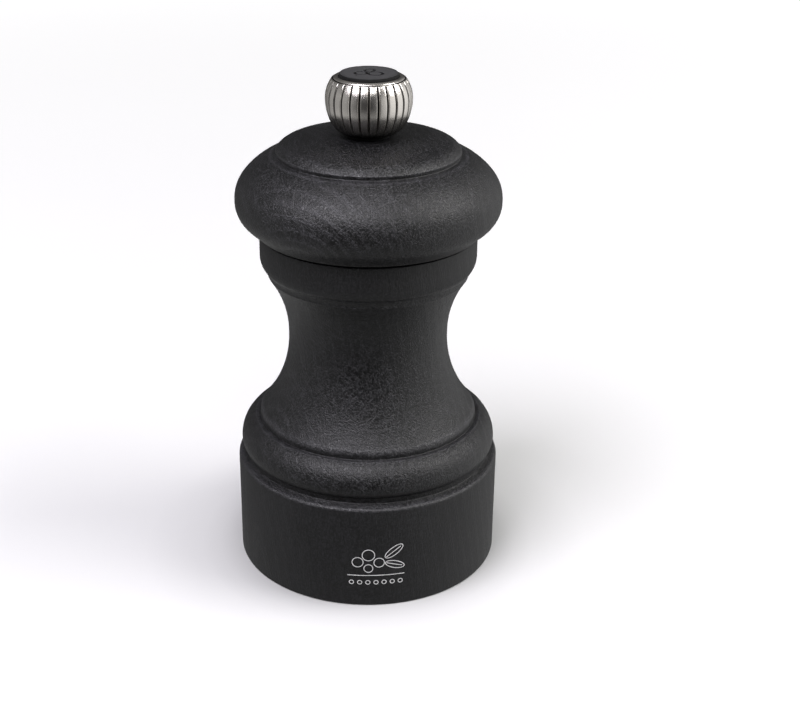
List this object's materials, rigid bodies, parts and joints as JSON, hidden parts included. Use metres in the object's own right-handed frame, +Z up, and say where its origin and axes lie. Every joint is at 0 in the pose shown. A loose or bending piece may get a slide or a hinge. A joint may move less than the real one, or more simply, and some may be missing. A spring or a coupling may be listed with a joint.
{
  "type": "pepper mill",
  "caption": "Small turned black wooden pepper mill with a waisted body, a mushroom head that turns the steel burr inside, and a fluted metal knob that sets the grind.",
  "frame": {"origin": "centre of the face that the mill stands on", "axes": "+Z up along the spindle; -Y is the front, where the printed mark is; +X to the right of it"},
  "size_m": [0.0534, 0.0532, 0.1],
  "materials": {
    "black_wood": "satin, stained black",
    "steel": "brushed",
    "burr_steel": "hardened and darkened",
    "pewter": "satin pewter plating, darker in the flutes",
    "brass": "turned",
    "black_plastic": "fine matt",
    "nylon": "moulded"
  },
  "bodies": {
    "base": {"mill_body": "black_wood", "base_plate": "steel", "base_plate_screws": "steel", "grinding_ring": "burr_steel", "bridge": "steel", "bridge_rivets": "steel", "bridge_bush": "nylon"},
    "drive": {"thrust_washer": "steel", "burr_spring": "steel"},
    "burr": {"spindle": "steel", "grinding_cone": "burr_steel", "cone_washer": "steel", "retaining_clip": "steel"},
    "head": {"head": "black_wood", "driver_plate": "steel", "driver_plate_screws": "steel"},
    "knob_seat": {"knob_washer": "black_plastic"},
    "knob": {"knob": "pewter", "knob_bush": "brass", "knob_cap": "black_plastic"}
  },
  "joints": [
    {"name": "mill_turn", "type": "hinge", "parent": "base", "child": "drive", "pos_m": [0, 0, 0.0222], "axis": [0, 0, 1], "continuous": true},
    {"name": "burr_travel", "type": "slide", "parent": "drive", "child": "burr", "axis": [0, 0, 1], "range_m": [-0.0013, 0.0005], "deforming": ["burr_spring"]},
    {"name": "head_lift", "type": "slide", "parent": "drive", "child": "head", "axis": [0, 0, 1], "range_m": [0, 0.036]},
    {"name": "knob_lift", "type": "slide", "parent": "head", "child": "knob_seat", "axis": [0, 0, 1], "range_m": [0, 0.01]},
    {"name": "knob_turn", "type": "hinge", "parent": "knob_seat", "child": "knob", "pos_m": [0, 0, 0.0885], "axis": [0, 0, 1], "range_deg": [-200, 540]}
  ],
  "couplings": [
    {"joint": "burr_travel", "follows": "knob_turn", "m_per_rad": -0.00012732}
  ]
}
